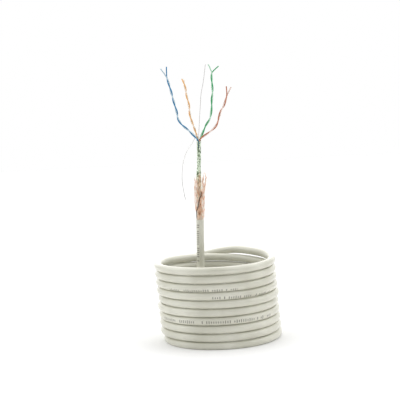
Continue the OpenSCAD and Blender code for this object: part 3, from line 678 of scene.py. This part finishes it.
# Braid: a woven copper sleeve under the jacket, combed out into strands above the cut
braid = {
    "inner": 2.47, "outer": 2.64, "stub": 0.5, "carriers": 16, "pick": 4.2,
    "ribBase": 0.06, "rib": 0.055,  # mm below the outside that the ribs stand on, and their height
    "sleeveSides": 96, "hiddenRings": 6, "hiddenTop": 8.0,  # mm below the cut, where the wide rings end
    "sleeveRings": 40, "ringsFrom": 7.6,  # mm below the cut, where the close rings start
    "strand": 0.1, "sides": 5, "rings": 56, "start": -1.5,
    "crimp": 0.1, "crimpDepth": 0.6, "crimpLength": 3.2,  # mm across, share of that in depth, mm along
    "skirt": 3.4, "clear": 3.1,  # mm from the axis: where strands spread over the cut, and pass the foil
    "skirtLeast": 0.3,  # square mm, keeps the outermost ones off the middle plane
    "wrap": 0.2, "settle": 6.0,  # how round they pass it, and over how many mm they get there
    "tuckAt": -0.4, "tuckOver": 1.2,  # mm above the cut, where they come out from under the jacket
    "leafOver": 8.0, "leafOpen": 0.6,  # mm that a loop opens over, and how far
    "scatter": 0.2, "uneven": 0.15,  # share of a tuft's width, and mm in depth
    "swayOver": 30.0, "swayMost": 1.2, "swayLength": (3, 6), "tuftShift": 2.1, "swayDepth": 0.3,
    "rootLight": 0.4, "rootOver": 3.0, "tuftDark": 0.15,  # paler at the cut, every other tuft darker
    "streak": 0.3, "streakPace": (0.4, 1.1), "streakShift": 6.3,  # light and dark along a tuft
    "mostTufts": 9, "seed": 7,
    # ramp from dark, which paints shade, to near white, partly painted highlight, and its drift in spots of a
    # size in mm
    "tones": [(0.07, "#2E1E18"), (1.0, "#FFF8EE"), (0.2, "#E49C6C"), (0.5, "#FFD4B2")],
    "spot": 1.5, "drift": 0.3,
    # clumps: strands in tufts between a left and a right edge, listed as height above the cut and distances
    # from the axis; face is -1 in front of the foil and 1 behind it; above leaf a clump opens in a loop
    "clumps": [
        {"count": 28, "tufts": 5, "face": -1, "length": (22, 29), "stray": 0.2, "shade": (0.36, 0.8),
         "streak": 0.2,
         "edges": [(0, -2.3, 1.0), (8, -2.4, 1.1), (12, -1.9, 1.2), (20, 0.4, 1.8), (29, 2.0, 3.0)]},
        {"count": 26, "tufts": 6, "face": -1, "length": (37, 44.5), "stray": 0.2, "shade": (0.38, 0.95),
         "leaf": 27.0,
         "edges": [(0, 0.8, 3.7), (8, 1.0, 4.5), (13, 1.2, 4.5), (21, 1.8, 4.8), (27, 2.4, 5.1),
                   (33, 2.2, 5.9), (38, 2.7, 6.4), (44, 3.7, 4.6)]},
        {"count": 26, "tufts": 6, "face": -1, "length": (26, 42), "stray": 0.25, "shade": (0.45, 1.0),
         "edges": [(0, -3.0, -2.1), (5, -2.9, -2.3), (9, -3.9, -2.5), (13, -4.5, -1.6), (17, -4.7, -0.9),
                   (21, -5.2, -0.9), (27, -5.1, -1.2), (35, -4.5, -1.2), (42, -5.8, -3.2)]},
        {"count": 12, "tufts": 6, "face": 1, "length": (20, 40), "stray": 0.3, "shade": (0.5, 1.0),
         "edges": [(0, -3.0, 3.4), (13, -4.0, 4.0), (27, -4.5, 4.5), (40, -4.5, 5.5)]},
        {"count": 8, "tufts": 2, "face": -1, "length": (20, 21.5), "stray": 0.1, "shade": (1.0, 1.2),
         "front": 0.3,
         "edges": [(0, -2.9, -2.2), (9, -3.0, -2.3), (13, -2.9, -1.6), (17, -2.7, -1.2), (22, -2.2, -1.4)]},
        # painted shade: nine dark strands laid along a gap between the tufts that falls in shadow, from the
        # left of the cut diagonally up to the right
        {"count": 9, "tufts": 3, "face": -1, "length": (23, 25.5), "stray": 0.05, "shade": (-0.3, -0.2),
         "front": 0.4,
         "edges": [(0, -3.1, -2.7), (8, -3.4, -2.9), (10, -2.6, -2.1), (11.5, -2.2, -1.6),
                   (19.6, -0.35, 0.25), (21.5, 0.75, 1.3), (25.5, 1.5, 1.9)]},
        {"count": 5, "tufts": 3, "face": -1, "length": (38, 45), "stray": 0.1, "shade": (0.5, 0.9),
         "edges": [(0, -1.6, 0.6), (10, -1.8, 0.4), (20, -1.0, 0.6), (30, -0.8, 0.9), (45, -0.3, 1.2)]},
        {"count": 28, "tufts": 6, "face": 1, "length": (22, 39), "stray": 0.2, "shade": (0.4, 0.95),
         "edges": [(0, -2.8, 2.9), (10, -2.3, 2.4), (25, -1.9, 2.1), (39, -1.6, 1.7)]},
    ],
}


def makeSleeve(d, c):  # a tube whose ribs are the product of two crossing helical cosines
    a = fullTurn * np.arange(d["sleeveSides"])[None, :] / d["sleeveSides"]
    hidden = np.linspace(c["foot"], c["cut"] - d["hiddenTop"], d["hiddenRings"])
    close = np.linspace(c["cut"] - d["ringsFrom"], c["cut"] + d["stub"], d["sleeveRings"])
    z = np.concatenate([hidden, close])[:, None]
    turned = d["carriers"] / 2 * a
    up = fullTurn * z / d["pick"]
    r = d["outer"] - d["ribBase"] + d["rib"] * np.cos(turned + up) * np.cos(turned - up)
    walls = [riserPoint(z, c) + np.stack([q * np.cos(a), q * np.sin(a), 0 * q], axis=-1)
             for q in (r, 0 * r + d["inner"])]
    grid = np.concatenate([walls[0], walls[1][::-1], walls[0][:1]])
    quads = gridFaces(*grid.shape[:2])
    return addPiece("braidSleeve", grid, quads, np.zeros((quads.size, 2)), copper)


sleeve = makeSleeve(braid, cable)
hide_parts("braid_sleeve")


def combedCopperMaterial(d):  # braid wire: each strand has its own tone, from dark painted shade to near white, partly painted highlight
    material, tree = emptyMaterial("combedCopper")
    place = addNode(tree, "ShaderNodeTexCoord")
    strand = addNode(tree, "ShaderNodeSeparateXYZ", {"Vector": place.outputs["UV"]})
    spots = addNode(tree, "ShaderNodeTexNoise", {
        "Vector": place.outputs["Object"], "Scale": 1 / (d["spot"] * mm), "Detail": 2.0})
    drift = addNode(tree, "ShaderNodeMath", {
        0: spots, 1: d["drift"], 2: -d["drift"] / 2}, operation="MULTIPLY_ADD")
    tone = addNode(tree, "ShaderNodeValToRGB", {
        "Fac": addNode(tree, "ShaderNodeMath", {0: drift, 1: strand}, operation="ADD")}, d["tones"])
    shader = addNode(tree, "ShaderNodeBsdfPrincipled", {
        "Base Color": tone, "Metallic": 0.35, "Roughness": 0.45})
    addNode(tree, "ShaderNodeOutputMaterial", {"Surface": shader})
    return material


# Strands that rise between the edges of their clump, spread over the cut and then pass the foil, sway by a
# sine that grows with height, and keep the crimp of the weave as a small wave
def makeFray(d, c):
    rng = np.random.default_rng(d["seed"])

    def lot(k, low, high):  # one random number for each strand of a clump
        return rng.uniform(low, high, (k["count"], 1))

    share = np.linspace(0, 1, d["rings"])[None, :]
    lines = []
    shades = []
    for k in d["clumps"]:
        tuft = np.arange(k["count"])[:, None] % k["tufts"]
        part = (tuft + 0.5 + lot(k, -d["scatter"], d["scatter"])) / k["tufts"]
        h = d["start"] + share * (lot(k, *k["length"]) - d["start"])
        leaf = ease((h - k.get("leaf", math.inf)) / d["leafOver"])
        split = 0.5 + 0.5 * np.sign(part - 0.5) * np.abs(2 * part - 1) ** (1 - d["leafOpen"] * leaf)
        grown = k["stray"] * np.clip(h / d["swayOver"], 0, d["swayMost"])
        sway = grown * np.sin(h / lot(k, *d["swayLength"]) + tuft * d["tuftShift"] + lot(k, -1, 1))
        place, left, right = np.array(k["edges"], float).T
        left, right = np.interp(h, place, left), np.interp(h, place, right)
        x = left + (right - left) * split + sway
        atCut = np.sqrt(np.maximum(d["skirt"] ** 2 - x ** 2, d["skirtLeast"]))
        y = atCut + (d["clear"] * np.cos(d["wrap"] * x) - atCut) * ease(h / d["settle"])
        y = k["face"] * (y + k.get("front", 0.0)) + lot(k, -d["uneven"], d["uneven"]) + d["swayDepth"] * sway
        root = d["inner"] / d["skirt"]
        tuck = root + (1 - root) * ease((h - d["tuckAt"]) / d["tuckOver"])
        wave = fullTurn * (h / d["crimpLength"] + lot(k, 0, 1))
        x = x * tuck + d["crimp"] * np.sin(wave)
        y = y * tuck + d["crimpDepth"] * d["crimp"] * np.cos(wave)
        lines.append(riserPoint(c["cut"] + h, c) + np.stack([x, y, 0 * x], axis=-1))
        pace = rng.uniform(*d["streakPace"], d["mostTufts"])[tuft]
        phase = rng.uniform(0, d["streakShift"], d["mostTufts"])[tuft]
        shade = lot(k, *k["shade"]) + k.get("streak", d["streak"]) * np.sin(h * pace + phase)
        shade = shade - d["tuftDark"] * (tuft % 2) + d["rootLight"] * (1 - ease(h / d["rootOver"]))
        shades.append(np.clip(shade, 0, 1))
    lines = np.concatenate(lines)
    grids = np.stack([ringGrid(line, (1.0, 0.3, 0.0), d["strand"], d["sides"]) for line in lines])
    count, rings, sides = grids.shape[:3]
    starts = np.arange(count)[:, None] * rings * sides
    quads = gridFaces(rings, sides)[None] + starts[:, :, None]
    caps = np.concatenate([starts + np.arange(sides)[::-1], starts + (rings - 1) * sides + np.arange(sides)])
    shade = np.concatenate(shades)[:, :, None, None]
    uv = np.zeros((count, rings - 1, sides, 4, 2))
    uv[..., :2, 0] = shade[:, :-1]
    uv[..., 2:, 0] = shade[:, 1:]
    look = combedCopperMaterial(d)
    return addPiece("braidFray", grids, quads.reshape(-1, 4), uv.reshape(-1, 2), look, caps)


fray = makeFray(braid, cable)
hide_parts("braid_strands")
print("braid combed out:", sum(k["count"] for k in braid["clumps"]), "strands")


# Cut tail: flush layers, with each wire in its own colour
tailLooks = {"tail_braid": copper, "tail_foil": foilWrap.data.materials[0], "tail_conductors": copper}
for node, look in tailLooks.items():
    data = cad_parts[node].data
    data.materials.clear()
    data.materials.append(look)


# Short straight wires, two by two: seats across the cable, turned from upright to the direction of the tail
def makeTailWires(c, w):
    polar = math.acos(tailDir[2])
    azimuth = math.atan2(tailDir[1], tailDir[0])
    spin = np.array(Matrix.Rotation(azimuth, 3, "Z") @ Matrix.Rotation(polar, 3, "Y"))
    start = cableLine[-1] - c["tail"] * tailDir
    path = start + tailDir * np.linspace(0.0, c["tail"], w["tailRings"])[:, None]
    apart = np.array([-w["tailApart"][0], w["tailApart"][1]])
    for color, pair in w["pairs"].items():
        for label, slot, side in ((color, color, 1), (color + "Mate", "white", -1)):
            seat = (np.array(w["seat"]) + side * apart) * pair["side"]
            look = bpy.data.materials[label + "Polyethylene"]
            name = "tail" + label[0].upper() + label[1:] + "Wire"
            piece = addWire(name, path + spin @ [*seat, 0.0], w, w["tailSides"], look)
            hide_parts("tail_insulation")


makeTailWires(cable, wires)
print("tail dressed")

# Light: a white tent with a lit back wall, a soft lamp above at each side and one above behind
tent = {"all": 0.31, "lamps": {  # direction, strength, and the power of the cosine that it falls off with
    "backWall": ((0.0, 0.97, 0.243), 1.5, 6.0),
    "left": ((-0.707, 0.0, 0.707), 2.25, 8.0),
    "right": ((0.707, 0.0, 0.707), 2.25, 8.0),
    "above": ((0.0, 0.447, 0.894), 1.7, 8.0),
}}


def lightTent(t):  # each lamp adds its strength times a power of the cosine to it; the eye itself sees white
    world = bpy.data.worlds.new("whiteTent")
    bpy.context.scene.world = world
    world.use_nodes = True
    tree = world.node_tree
    tree.nodes.clear()
    sky = addNode(tree, "ShaderNodeTexCoord").outputs["Generated"]
    glow = t["all"]
    for aim, strength, power in t["lamps"].values():
        near = addNode(tree, "ShaderNodeVectorMath", {0: sky, 1: aim}, operation="DOT_PRODUCT")
        near = addNode(tree, "ShaderNodeMath", {0: near, 1: 0.0}, operation="MAXIMUM")
        near = addNode(tree, "ShaderNodeMath", {0: near, 1: power}, operation="POWER")
        glow = addNode(tree, "ShaderNodeMath", {0: near, 1: strength, 2: glow}, operation="MULTIPLY_ADD")
    ray = addNode(tree, "ShaderNodeLightPath")
    seen = addNode(tree, "ShaderNodeMix", {
        "Factor": ray.outputs["Is Camera Ray"], "A": glow, "B": 1.0}, data_type="FLOAT")
    backdrop = addNode(tree, "ShaderNodeBackground", {"Color": (1.0, 1.0, 1.0, 1.0), "Strength": seen})
    addNode(tree, "ShaderNodeOutputWorld", {"Surface": backdrop})


# Floor: a wide sheet of white paper, paler near the coil and a little greyer far from it, a painted pool of
# light round the coil
paper = {
    "half": 4.0,  # m, half of its width
    "near": "#F2F2F2", "far": "#E5E5E5", "fade": (0.3, 0.8),  # m from the coil, where it turns greyer
}


def layPaper(p):  # one flat square, whose tone goes from near to far with the distance from the coil
    material, tree = emptyMaterial("whitePaper")
    place = addNode(tree, "ShaderNodeTexCoord").outputs["Object"]
    away = addNode(tree, "ShaderNodeVectorMath", {0: place}, operation="LENGTH").outputs["Value"]
    far = addNode(tree, "ShaderNodeMapRange", {
        "Value": away, "From Min": p["fade"][0], "From Max": p["fade"][1]})
    # painted light: the paper is paler near the coil, so that its shadows wash out as under a bright pool of
    # light
    tone = addNode(tree, "ShaderNodeMix", {
        "Factor": far, "A": linear(p["near"]), "B": linear(p["far"])}, data_type="RGBA")
    shader = addNode(tree, "ShaderNodeBsdfPrincipled", {"Base Color": tone, "Roughness": 0.9})
    addNode(tree, "ShaderNodeOutputMaterial", {"Surface": shader})
    h = p["half"]
    mesh = bpy.data.meshes.new("paperFloor")
    mesh.from_pydata([(-h, -h, 0), (h, -h, 0), (h, h, 0), (-h, h, 0)], [], [(0, 1, 2, 3)])
    mesh.materials.append(material)
    sheet = bpy.data.objects.new("paperFloor", mesh)
    bpy.context.scene.collection.objects.link(sheet)
    return sheet


lightTent(tent)
paperFloor = layPaper(paper)
bpy.context.scene.view_settings.view_transform = "Standard"
print("lit")
